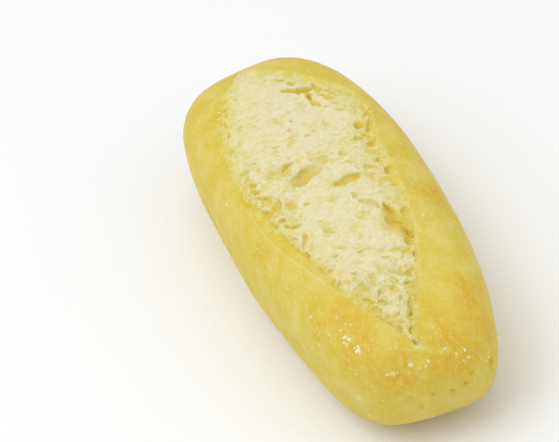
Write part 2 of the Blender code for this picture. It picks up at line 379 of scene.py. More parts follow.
AROUND, LEVELS = 700, (8, 24, 62, 28, 12)
levels = np.concatenate([[0.0], *(k + np.arange(1, n + 1) / n for k, n in enumerate(LEVELS))])
around, level = np.meshgrid(np.arange(AROUND) / AROUND * 2, levels)
crust_grid, crust_along = crust_base(around, level)
left_side = around <= 1
outward = normals_of(np.concatenate([crust_grid[:, -3:], crust_grid, crust_grid[:, :3]], 1))[:, 3:-3]
outward *= np.sign(np.sum(outward * (crust_grid - crust_grid.mean((0, 1))), -1, keepdims=True))
rim_row = crust_grid[np.argmin(np.abs(levels - 3.45))]
from_rim = np.linalg.norm(crust_grid - rim_row, axis=-1)
from_rim = np.where(level > 3.45, 0, from_rim)

# Small open pores in the end and the shoulders: place on the raw loaf in mm, radius and depth in mm.
PORES = (
    (111.3, 16.5, 34.1, 0.8, 0.8), (111.8, 13.6, 29.9, 0.9, 0.9), (111.3, 7.4, 29.2, 1.0, 1.1),
    (109.9, -0.3, 29.7, 0.8, 0.6), (108.5, -5.9, 26.4, 0.9, 0.6), (106.4, 27.4, 30.6, 1.7, 1.7),
    (107.8, -9.9, 29.9, 2.6, 0.3), (85.6, 36.3, 49.2, 0.7, 0.3),
)
# The shoulder between the top and the near end: its height in mm at places across, in mm.
SHOULDER = ((-20, 33), (-15, 36), (-9, 38), (-3, 38.6), (5, 38.5), (13, 37), (19, 34), (23, 31), (29, 22))
spacing = held(level - 1) * held(4.2 - level)
relief = 0.16 * MM * soft_noise(crust_grid, 7 * MM, 21) + 0.07 * MM * soft_noise(crust_grid, 2.6 * MM, 22)
relief += 0.035 * MM * soft_noise(crust_grid, 1.3 * MM, 23)
pore_share = np.zeros_like(level)
for pore_x, pore_y, pore_z, radius, depth in PORES:
    away = np.linalg.norm(crust_grid - np.array([pore_x, pore_y, pore_z]) * MM, axis=-1)
    away = np.linalg.norm(crust_grid - crust_grid.reshape(-1, 3)[away.argmin()], axis=-1) / (radius * MM)
    relief -= depth * MM * np.exp(-(away**3)) - 0.25 * depth * MM * bell(away - 1.4, 0.4)
    pore_share += np.exp(-(away**3))
shoulder_across, shoulder_height = np.array(SHOULDER).T * MM
above = crust_grid[..., 2] - np.interp(crust_grid[..., 1], shoulder_across, shoulder_height)
near_end = held((crust_along - 0.55) * 4) * (outward[..., 0] > 0.1) * (level < 3)
shoulder = bell(above, 4 * MM) * near_end
relief += 0.8 * MM * shoulder - 0.7 * MM * bell(above + 9 * MM, 6 * MM) * near_end
crust_grid = crust_grid + outward * (relief * spacing)[..., None]

# Browned patches: place on the plan, reach in mm and strength.
PATCHES = (
    (0.79, 0.66, 7, 0.34), (0.86, 0.78, 6, 0.28), (0.25, 0.80, 8, 0.32), (0.30, 0.84, 6, 0.20),
    (0.68, -0.61, 13, 0.14), (0.87, -0.55, 9, 0.16), (0.97, -0.38, 6, 0.42), (0.96, -0.06, 11, 0.12),
    (0.96, 0.26, 10, 0.24), (0.94, 0.55, 10, 0.22), (-0.12, -0.76, 3.5, 0.42), (-0.07, -0.765, 3, 0.42),
    (0.02, -0.76, 4, 0.28), (0.18, -0.72, 6, 0.05), (0.74, -0.58, 7, 0.18), (0.79, -0.52, 6, 0.14),
    (0.25, -0.74, 6, 0.05), (-0.35, -0.72, 7, 0.15), (0.88, 0.20, 14, 0.10), (-0.60, 0.50, 6, 0.20),
    (-0.61, -0.50, 3.5, 0.14), (-0.50, -0.66, 6, 0.12), (0.35, 0.95, 13, 0.14), (0.62, 0.95, 15, 0.16),
    (-0.10, 0.92, 14, 0.10), (0.84, 0.90, 13, 0.10), (0.919, -0.02, 2.0, -0.34),
    (0.928, 0.06, 1.6, -0.12), (0.941, 0.22, 2.2, -0.16),
)
# The cut's shallow end, drawn out past its tip: places on the plan.
scar_across = np.linspace(-0.03, 0.34, 24)
scar_along = np.interp(scar_across, (-0.03, 0.08, 0.34), (0.905, 0.930, 0.950))
scar_line = on_dome(scar_along, scar_across)
from_scar = np.min([np.linalg.norm(crust_grid - spot, axis=-1) for spot in scar_line], axis=0) / MM
crust_grid = crust_grid - outward * (0.5 * MM * bell(from_scar, 1.3) * (level < 3))[..., None]
ridge = 0.25 * MM * bell(from_scar - 2.8, 1.2) * (level < 3)
crust_grid = crust_grid + outward * ridge[..., None]
crust_low, crust_high = crust_grid.min((0, 1)), crust_grid.max((0, 1))
crust_high[2] = 60.6 * MM  # the crumb's highest swell
crust_toast = 0.375 + 0.07 * soft_noise(crust_grid, 24 * MM, 31) + 0.05 * soft_noise(crust_grid, 6 * MM, 32)
speckle = 0.85 + 0.45 * soft_noise(crust_grid, 1.8 * MM, 34) + 0.30 * soft_noise(crust_grid, 5 * MM, 35)
for patch_along, patch_across, reach, strength in PATCHES:
    away = np.linalg.norm(crust_grid - on_dome(patch_along, patch_across), axis=-1) / (reach * MM)
    crust_toast += strength * np.exp(-(away**2)) * speckle
skin = skin_share(crust_along) * left_side
torn_reach = (1.2 + 0.9 * soft_noise(crust_grid, 3 * MM, 33)) * MM
torn_left = 0.04 + 0.14 * held((crust_along - 0.50) * 4)
torn = np.where(left_side, torn_left, 0.12 + 0.06 * np.clip(crust_along * 2, -1, 1))
crust_toast -= torn * bell(from_rim, torn_reach) * (1 + 0.6 * soft_noise(crust_grid, 2 * MM, 37))
crust_toast -= 0.13 * bell(from_rim, 0.4 * MM) * skin * (level < 3.6)
crust_toast += 0.06 * skin * held((level - 3.55) * 8) * (1 + 0.8 * soft_noise(crust_grid, 4 * MM, 38))
crust_toast += 0.08 * shoulder * speckle - 0.04 * near_end * (above < -3 * MM)
# Painted shade in the pores: they are coloured a deeper gold.
crust_toast += 0.30 * pore_share
crust_toast -= 0.17 * bell(from_scar, 1.8) * (1 + 0.8 * soft_noise(crust_grid, 1.6 * MM, 36))
crust_toast = np.clip(crust_toast, 0.02, 1)
# Painted shade: darker olive gold towards the base, and on the right side up to 48 mm high.
baked_low = 0.48 * held(1 - crust_grid[..., 2] / (30 * MM)) ** 0.7 * held(level)
baked_low += 0.20 * ~left_side * held(1 - (crust_grid[..., 2] - 30 * MM) / (18 * MM))
crust = make_piece(
    "crust", fitted(crust_grid).reshape(-1, 3), grid_faces(*level.shape, True), crust_material,
    toast=crust_toast.ravel(), baked_low=np.clip(baked_low, 0, 0.6).ravel(),
)
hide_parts("loaf")

# ------------------------------------
# Blisters and flour grains. Where semolina flour or a burst bubble dried on the crust it left pale beads
# and flakes, under a millimetre to three across. They sit on the crust, most of them near the end.

# Dried flour and thin blistered skin: pale yellow to nearly white, matt. It gives the eye small soft
# specks of uneven size and a few bright ones.
blister_material, blister_node = new_material("dried_flour_blister")
whiteness = blister_node("Attribute", attribute_name="whiteness").outputs["Fac"]
blister_colour = blister_node(
    "Mix", {"Factor": whiteness, "A": colour("#e7d781"), "B": colour("#f6f0d2")}, data_type="RGBA"
).outputs["Result"]
blister_shader = blister_node(
    "BsdfPrincipled",
    {"Base Color": blister_colour, "Roughness": 0.6, "Subsurface Weight": 0.2,
     "Subsurface Radius": (1.0, 0.8, 0.5), "Subsurface Scale": 0.5 * MM},
)
blister_node("OutputMaterial", {"Surface": blister_shader.outputs[0]})

# Larger flakes: place on the plan in thousandths, half length and half width in mm, turn from X in
# degrees and whiteness.
FLAKES = (
    (775, -665, 1.5, 0.6, 70, 0.9), (788, -640, 1.2, 0.6, 20, 1.0), (800, -675, 0.9, 0.5, 120, 0.6),
    (785, -690, 0.8, 0.5, 50, 0.5), (845, -610, 1.3, 0.7, 80, 1.0), (835, -585, 0.9, 0.5, 10, 0.8),
    (855, -590, 0.9, 0.45, 140, 0.7), (830, -620, 0.7, 0.4, 60, 0.5), (-180, -905, 1.5, 0.5, 10, 0.8),
    (-820, -620, 1.2, 0.5, 100, 0.3), (959, -152, 1.3, 1.0, 90, 0.2), (964, -351, 1.5, 1.1, 70, 0.0),
    (959, -410, 0.9, 0.5, 60, 0.5), (961, 22, 0.7, 0.6, 20, 0.9), (970, -11, 0.8, 0.6, 120, 0.3),
    (971, -75, 0.7, 0.6, 60, 0.2), (951, 409, 1.0, 0.5, 20, 0.6), (959, 318, 0.8, 0.5, 40, 0.5),
    (966, 436, 0.8, 0.6, 80, 0.5), (941, 226, 0.9, 0.6, 90, 0.4), (-639, -448, 0.9, 0.6, 30, 0.3),
    (-594, -496, 1.1, 0.6, 60, 0.2), (919, -45, 0.9, 0.5, 100, 0.5), (915, 0, 0.7, 0.5, 40, 0.6),
    (935, 649, 1.4, 0.6, 120, 0.5), (947, 615, 0.8, 0.5, 60, 0.5),
)
BEADS, RINGS, SIDES = 700, 5, 8
rng = np.random.default_rng(61)
seat = fitted(crust_grid)
cell_area = np.linalg.norm(np.cross(np.gradient(seat, axis=0), np.gradient(seat, axis=1)), axis=-1)
open_skin = (level > 1.7) & (level < 3.0) & (from_rim > 2.5 * MM)
likely = cell_area * open_skin * (0.35 + 1.1 * held(crust_along) ** 2 + 0.35 * (~left_side))
likely = likely * np.clip(0.5 + 1.6 * soft_noise(crust_grid, 16 * MM, 62), 0.05, 2)
chosen = rng.choice(likely.size, BEADS, replace=False, p=(likely / likely.sum()).ravel())
half_length = rng.uniform(0.20, 0.52, BEADS) * (1 + 0.7 * (rng.random(BEADS) < 0.15)) * MM
half_width = half_length * rng.uniform(0.5, 1.0, BEADS)
turn = rng.uniform(0, np.pi, BEADS)
white = 0.5 * rng.random(BEADS) ** 3
for flake_along, flake_across, length, width, degrees, flake_white in FLAKES:
    away = np.linalg.norm(crust_grid - on_dome(flake_along / 1000, flake_across / 1000), axis=-1)
    chosen = np.append(chosen, np.argmin(np.where(level > 3.2, LENGTH, away)))  # not inside the cut
    half_length, half_width = np.append(half_length, length * MM), np.append(half_width, width * MM)
    turn, white = np.append(turn, np.radians(degrees)), np.append(white, flake_white)


def beads(centre, normal, half_length, half_width, turn):
    """Closed beads, each with RINGS rings of SIDES points, from its top round its rim to a point below the
    skin: radius and height of a ring are the sine and cosine of its angle, on axes of half_length,
    half_width and 0.2 half_width, with the outline pushed in and out a little by a seeded draw."""
    ring = np.array([0.0, 0.6, 1.15, 1.7, np.pi])[None, :, None]
    side = (np.arange(SIDES) / SIDES * 2 * np.pi)[None, None, :]
    uneven = 1 + 0.22 * rng.uniform(-1, 1, (len(centre), 1, SIDES))
    across_axis = np.cross(normal, (1, 0, 0))
    across_axis /= np.linalg.norm(across_axis, axis=-1, keepdims=True)
    along_axis = np.cross(across_axis, normal)
    first, second = turned(along_axis, across_axis, turn[:, None])
    flat = np.sin(ring) * uneven
    u = (half_length[:, None, None] * flat * np.cos(side))[..., None] * first[:, None, None]
    v = (half_width[:, None, None] * flat * np.sin(side))[..., None] * second[:, None, None]
    w = (0.2 * half_width[:, None, None] * np.cos(ring))[..., None] * normal[:, None, None]
    return centre[:, None, None] + u + v + w


bead_points = beads(
    seat.reshape(-1, 3)[chosen], outward.reshape(-1, 3)[chosen], half_length, half_width, turn
)
first_points = RINGS * SIDES * np.arange(len(chosen))
bead_faces = grid_faces(RINGS, SIDES, True)[None] + first_points[:, None, None]
blisters = make_piece(
    "blisters", bead_points.reshape(-1, 3), bead_faces.reshape(-1, 4), blister_material,
    whiteness=np.repeat(white, RINGS * SIDES),
)
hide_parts("loaf")

# ------------------------------------
# Crumb. Inside the cut the soft dough tore apart as it rose. It is full of gas holes, small ones
# everywhere and larger ones near the rims, with thin walls and strands drawn across the loaf. It
# fills the cut, clings to the right rim, and on the left stops where skin set on the slope.

# Larger holes: place on the plan in thousandths, half length and half width in mm, turn from X in degrees,
# depth in mm, direction of the steep side from X in degrees, and lean, 0 for an even bowl. A ninth number
# is the bareness of the smooth film of starch that closes a hole, 1 where it has no crumb on it.
GAS_HOLES = (
    (-54, -170, 11.6, 4.7, 107, 2.2, 275, 0.55, 0.7), (-116, -20, 5.0, 1.5, 74, 0.9, 157, 0.4, 0.1),
    (85, 123, 7.8, 5.0, 93, 1.8, 193, 1.2, 0.15), (-144, -289, 3.9, 2.1, 111, 1.4, 200, 0.4, 0.2),
    (-127, -394, 5.9, 5.0, 59, 0.7, 157, 0.2, 0.3), (-224, -639, 2.7, 1.8, 72, 1.3, 157, 0.3),
    (-244, -545, 3.0, 1.2, 41, 0.7, 157, 0.2), (-136, -655, 3.2, 2.2, 18, 1.5, 157, 0.3),
    (-96, -657, 2.8, 1.2, 18, 1.3, 156, 0.3), (-51, -649, 3.3, 1.5, 35, 1.1, 157, 0.3),
    (-20, -722, 3.8, 1.0, 2, 1.0, 156, 0.2), (24, -704, 2.0, 1.0, 14, 0.9, 156, 0.2),
    (41, -573, 6.1, 2.7, 169, 1.5, 179, 0.4, 0.2), (71, -639, 1.8, 1.2, 21, 0.9, 156, 0.2),
    (116, -605, 2.6, 2.0, 7, 1.6, 156, 0.3, 0.1), (117, -666, 2.3, 1.5, 18, 1.0, 156, 0.3),
    (156, -606, 2.3, 1.2, 17, 1.3, 156, 0.3), (179, -537, 2.8, 2.0, 49, 1.1, 156, 0.3, 0.2),
    (276, -532, 4.5, 2.3, 162, 1.2, 228, 0.6, 0.3), (333, -629, 3.5, 2.2, 21, 1.7, 156, 0.3),
    (232, -606, 2.2, 1.2, 33, 0.9, 156, 0.2), (105, -343, 1.5, 1.1, 29, 1.0, 157, 0.2),
    (171, 70, 2.9, 1.7, 157, 0.7, 156, 0.3, 0.6), (231, 143, 3.8, 2.3, 33, 0.8, 156, 0.3, 0.7),
    (270, 204, 3.2, 1.7, 174, 0.8, 102, 0.2, 0.2), (235, -336, 2.6, 1.0, 66, 0.6, 156, 0.2),
    (292, -295, 2.1, 1.1, 50, 0.5, 156, 0.2, 0.2), (400, 305, 13.7, 7.6, 0, 1.8, 116, 0.5, 0.1),
    (365, 440, 6.5, 3.0, 175, 1.6, 107, 0.2), (315, 295, 5.2, 2.6, 14, 2.4, 102, 0.8),
    (445, 355, 5.6, 2.5, 12, 3.2, 102, 1.0), (380, 325, 5.0, 1.8, 12, 2.5, 102, 0.9),
    (560, 329, 2.3, 1.7, 156, 1.5, 155, 0.2), (486, 399, 1.8, 1.5, 69, 1.2, 66, 0.2),
    (690, 205, 2.9, 1.6, 154, 1.0, 154, 0.2, 0.6), (769, 59, 4.4, 2.4, 151, 1.2, 245, 0.3, 0.5),
    (799, -240, 5.4, 2.6, 32, 1.1, 125, 0.3, 0.7), (742, -276, 3.2, 1.4, 45, 0.7, 153, 0.3, 0.4),
    (570, -490, 2.8, 2.1, 159, 1.2, 232, 0.4, 0.4), (538, -541, 1.5, 1.1, 23, 1.1, 155, 0.2),
    (433, -392, 1.7, 1.1, 61, 0.9, 156, 0.2, 0.1), (460, -152, 1.6, 1.2, 95, 1.0, 156, 0.2, 0.1),
    (494, 54, 9.5, 1.9, 60, 0.5, 155, 0.8), (643, -321, 4.8, 4.3, 129, 0.9, 240, 0.4, 0.35),
    (690, -318, 2.3, 1.3, 23, 1.2, 154, 0.2, 0.2), (683, -176, 2.1, 1.0, 147, 1.1, 155, 0.2, 0.1),
    (714, -188, 1.5, 1.0, 62, 1.0, 154, 0.2), (725, -29, 2.6, 1.0, 146, 0.8, 154, 0.2, 0.3),
    (786, -109, 2.0, 1.1, 77, 0.7, 153, 0.2, 0.2), (671, 113, 1.6, 1.2, 156, 1.3, 155, 0.2),
    (549, -329, 1.5, 1.0, 67, 1.1, 155, 0.2, 0.1), (451, -557, 2.6, 1.3, 169, 1.3, 155, 0.2),
    (480, -515, 1.6, 1.1, 136, 0.9, 155, 0.2), (624, 167, 4.4, 1.3, 127, 0.8, 207, 0.4, 0.5),
    (620, 42, 2.7, 1.5, 60, 0.8, 154, 0.3, 0.5), (400, -296, 2.0, 1.7, 7, 0.7, 156, 0.2, 0.5),
    (534, 50, 2.0, 1.0, 73, 0.7, 154, 0.2, 0.2), (725, -172, 2.0, 1.1, 87, 0.8, 154, 0.2, 0.2),
    (849, -15, 2.2, 1.1, 141, 0.7, 245, 0.3, 0.2), (826, -75, 1.5, 1.0, 95, 0.6, 152, 0.3, 0.2),
    (-229, 539, 4.0, 2.7, 154, 1.5, 157, 0.3), (-210, 615, 5.4, 1.6, 157, 1.5, 77, 0.3),
    (-152, 455, 2.7, 2.0, 159, 1.6, 337, 0.4), (-152, 516, 1.6, 1.1, 154, 0.9, 157, 0.2),
    (-83, 215, 2.7, 2.1, 173, 1.2, 157, 0.3), (-21, 209, 2.4, 1.2, 48, 0.9, 157, 0.3),
    (34, 361, 2.6, 2.0, 85, 1.0, 157, 0.3), (14, 491, 2.6, 1.5, 173, 1.0, 69, 0.3),
    (84, 514, 2.4, 1.5, 162, 1.0, 71, 0.3), (-44, 478, 3.0, 2.6, 74, 0.7, 157, 0.3),
    (-349, 476, 2.3, 1.8, 45, 1.0, 158, 0.3), (-366, 539, 1.6, 1.1, 157, 0.8, 158, 0.2),
    (-571, 206, 6.0, 2.3, 57, 2.0, 159, 0.4), (-547, 299, 4.6, 3.5, 59, 2.6, 159, 0.4),
    (-499, 292, 5.3, 1.7, 172, 2.3, 139, 0.3), (-439, 305, 4.8, 2.1, 21, 1.3, 138, 0.3),
    (-530, 419, 6.7, 2.3, 170, 1.5, 141, 0.3), (-458, 438, 4.8, 2.4, 36, 1.3, 141, 0.3),
    (-488, 510, 3.6, 2.4, 42, 1.0, 143, 0.3), (-616, 250, 2.7, 1.8, 44, 1.1, 159, 0.3),
    (-676, 185, 2.0, 1.3, 16, 1.1, 159, 0.3), (-715, 81, 1.8, 1.1, 32, 0.9, 160, 0.3),
    (-391, 373, 1.8, 1.6, 111, 0.8, 158, 0.3), (-399, 482, 1.8, 1.6, 167, 0.8, 158, 0.3),
    (-295, 700, 7.2, 1.0, 174, 0.7, 145, 0.3), (-366, -22, 1.6, 1.1, 170, 1.0, 157, 0.2, 0.2),
    (-319, -93, 2.2, 1.0, 161, 0.8, 158, 0.2, 0.2), (-269, -285, 2.3, 1.1, 49, 0.8, 158, 0.3, 0.2),
    (-259, 28, 1.6, 1.0, 52, 0.8, 157, 0.3, 0.1), (-271, 114, 1.6, 1.2, 179, 0.7, 157, 0.3, 0.1),
    (-601, -439, 2.4, 1.2, 170, 1.0, 222, 0.3), (-542, -509, 2.6, 1.1, 166, 1.0, 222, 0.3),
    (-372, -637, 2.7, 1.5, 171, 1.1, 220, 0.3), (-660, -275, 1.6, 1.0, 7, 0.6, 160, 0.2),
    (175, 490, 2.0, 1.5, 92, 1.0, 157, 0.3), (219, 479, 1.6, 1.0, 155, 0.9, 156, 0.2),
    (318, 521, 2.7, 1.2, 175, 1.4, 112, 0.2), (204, 325, 1.3, 1.2, 167, 0.7, 156, 0.2),
    (246, 361, 2.6, 1.6, 83, 0.5, 156, 0.2), (-700, -360, 2.6, 1.5, 60, 1.1, 222, 0.3),
    (-640, -410, 2.0, 1.3, 80, 1.1, 222, 0.3), (-760, -290, 1.8, 1.2, 40, 0.9, 222, 0.3),
    (-820, -200, 2.2, 1.3, 30, 0.9, 222, 0.3), (-600, -370, 1.6, 1.0, 90, 0.9, 222, 0.3),
    (-470, -560, 2.2, 1.4, 150, 1.0, 222, 0.3),
)
SLAB = 9.3 * MM  # thickness of the modelled crumb
TUCK = 0.8 * MM  # how far its edge dives under the crust
MAP_CELL = 0.4 * MM  # side of the squares in the map of the crust's height
CRUMB_FAR_TIP, CRUMB_NEAR_TIP = CUT_FAR_TIP - 0.012, CUT_NEAR_TIP + 0.014


def crumb_borders(along):
    """Across, on the left and on the right, of the crumb's ragged border. On the right and at the far left
    it lies just outside the rim, so that crumb clings to the crust, and elsewhere on the left as far
    inside as skin set on the slope."""
    left, right = cut_edges(along)
    slope = cut_feet(along)[0] - left
    uneven = 0.6 * along_noise(along, 3 * MM, 71) + 0.4 * along_noise(along, 1.1 * MM, 72)
    other = 0.5 * along_noise(along, 3.4 * MM, 73) + 0.35 * along_noise(along, 1.2 * MM, 74)
    inside = np.interp(
        along, (-0.93, -0.32, -0.18, 0.0, 0.2, 0.36, 0.5, 0.6, 0.68),
        (-1.2, -0.8, 1.2, 2.6, 4.2, 4.8, 3.0, 0.2, -0.4),
    )
    ragged = 1.5 + 1.1 * held((-0.25 - along) * 5)
    inside = inside + 0.7 * along_noise(along, 7 * MM, 75)
    left_border = left + np.minimum((inside + ragged * uneven) * MM / (WIDTH / 2), 0.86 * slope)
    outside = 0.9 - 0.5 * held((along - 0.45) * 5) + 1.1 * other
    return left_border, right + outside * MM / (WIDTH / 2)


def height_map(points):
    """Mean height of the points in each square of MAP_CELL of the plan, and the map's low corner. Squares
    without a point take the mean of their filled neighbours, ring after ring."""
    low = points[..., :2].min((0, 1)) - 2 * MAP_CELL
    i, j = np.moveaxis(((points[..., :2] - low) / MAP_CELL).astype(int), -1, 0)
    total, count = np.zeros((2, i.max() + 3, j.max() + 3))
    np.add.at(total, (i, j), points[..., 2])
    np.add.at(count, (i, j), 1)
    for _ in range(12):
        near_total, near_count = total.copy(), count.copy()
        for shift, axis in ((1, 0), (-1, 0), (1, 1), (-1, 1)):
            near_total += np.roll(total, shift, axis)
            near_count += np.roll(count, shift, axis)
        total, count = np.where(count > 0, total, near_total), np.where(count > 0, count, near_count)
    return total / np.maximum(count, 1), low


# The rim and the slope in it, with the crust's own relief, and four straight steps between its points.
rim_grid = crust_grid[(levels > 2.6) & (levels < 4.001)]
rim_grid = np.concatenate([rim_grid, rim_grid[:, :1]], 1)
step, part = (grid.reshape(-1, 1, 1, 1) for grid in np.meshgrid(np.arange(4) / 4, np.arange(4) / 4))
rim_grid = (1 - part) * rim_grid[:, :-1] + part * rim_grid[:, 1:]
rim_grid = (1 - step) * rim_grid[:, :-1] + step * rim_grid[:, 1:]
rim_map, rim_map_low = height_map(rim_grid.reshape(1, -1, 3))


def crust_height(x, y):
    """Height of the bare crust at x and y: straight lines between the middles of the map's squares."""
    u, v = (x - rim_map_low[0]) / MAP_CELL - 0.5, (y - rim_map_low[1]) / MAP_CELL - 0.5
    i = np.clip(np.floor(u).astype(int), 0, rim_map.shape[0] - 2)
    j = np.clip(np.floor(v).astype(int), 0, rim_map.shape[1] - 2)
    s, t = held(u - i), held(v - j)
    low_side = (1 - t) * rim_map[i, j] + t * rim_map[i, j + 1]
    high_side = (1 - t) * rim_map[i + 1, j] + t * rim_map[i + 1, j + 1]
    return (1 - s) * low_side + s * high_side


def large_holes(x, y):
    """Depth of the larger holes, their gold, their torn lips, and how bare they are. The gold is partly the
    crumb's own deeper yellow and partly painted shade that follows the depth. On a hole's own disc w runs
    to its steep side and t across it. The depth is sqrt(1 - t^2) times a smoothstep up from the gentle side
    to w = 0.6 lean, and one down from there to the steep side. A low lip stands round it."""
    depth, gold_and_shade, lips, film = np.zeros((4, *x.shape))
    for hole in GAS_HOLES:
        along, across, half_length, half_width, turn, deepest, steep, lean, bareness = (*hole, 0)[:9]
        centre_x, centre_y = on_plan(along / 1000, across / 1000)
        u, v = turned(x - centre_x, y - centre_y, np.radians(turn))
        u, v = u / (half_length * MM), v / (half_width * MM)
        w, t = turned(u, v, np.radians(steep - turn))
        chord = np.sqrt(np.clip(1 - t**2, 1e-4, None))
        place, deep_line = w / chord, 0.6 * lean
        gentle, sheer = (1 + place) / (1 + deep_line), (1 - place) / (1 - deep_line)
        share = ease(1.15 * np.where(place < deep_line, gentle, sheer)) * held(1.2 * chord) * (np.abs(t) < 1)
        film = np.maximum(film, bareness * held(3.5 * share))
        depth = np.maximum(depth, deepest * MM * share ** np.where(place < deep_line, 1 + lean, 1))
        gold_and_shade = np.maximum(gold_and_shade, deepest * MM * share ** np.where(place < deep_line, 1 + 3 * lean, 1))
        outside = np.maximum(u**2 + v**2 - 1, 0)
        lips = np.maximum(lips, bell(outside, 0.5) * (outside > 0))
    return depth, gold_and_shade, lips, film


def near_cells(x, y, size, stretch):
    """For each of the nine cells, of size by size * stretch, round a place: where the cell is in a table of
    64 by 64, and the place seen from its corner, in cells."""
    u, v = x / size, y / (size * stretch)
    cell_u, cell_v = np.floor(u).astype(int), np.floor(v).astype(int)
    for step_u, step_v in np.ndindex(3, 3):
        i, j = cell_u + step_u - 1, cell_v + step_v - 1
        yield (i % 64, j % 64), u - i, v - j


def bubbles(x, y, size, stretch, share, seed):
    """0 to 1: scattered bowls sqrt(1 - d^2), at most one in each cell of size by size * stretch, with a
    seeded place, radius and turn. share is the share of cells that have one."""
    rng = np.random.default_rng(seed)
    centre, radius = rng.uniform(0.1, 0.9, (2, 64, 64)), rng.uniform(0.18, 0.52, (64, 64))
    there, turn = rng.random((64, 64)) < share, rng.uniform(-0.6, 0.6, (64, 64))
    depth = np.zeros_like(x)
    for cell, u, v in near_cells(x, y, size, stretch):
        du, dv = turned(u - centre[0][cell], v - centre[1][cell], turn[cell])
        away = (du**2 + 1.5 * dv**2) / radius[cell] ** 2
        bowl = np.where(there[cell], radius[cell] / 0.52 * np.sqrt(np.maximum(1 - away, 0)), 0)
        depth = np.maximum(depth, bowl)
    return depth


def foam(x, y, size, stretch, seed):
    """Depth, 0 to 1, and walls, 0 to 1, of a foam of cells. Each place belongs to its nearest seeded centre,
    is 0 deep on the wall between two cells, and goes down to its cell's own seeded depth by a smoothstep of
    the difference between its two nearest distances."""
    rng = np.random.default_rng(seed)
    centre, cell_depth = rng.uniform(0, 1, (2, 64, 64)), rng.uniform(0, 1, (64, 64)) ** 1.3
    nearest, second, own = np.full_like(x, 9.0), np.full_like(x, 9.0), np.zeros_like(x)
    for cell, u, v in near_cells(x, y, size, stretch):
        away = np.hypot(u - centre[0][cell], v - centre[1][cell])
        second = np.where(away < nearest, nearest, np.minimum(second, away))
        own = np.where(away < nearest, cell_depth[cell], own)
        nearest = np.minimum(nearest, away)
    t = held((second - nearest) / 0.5)
    return own * ease(t), held(1 - 3 * t) ** 2


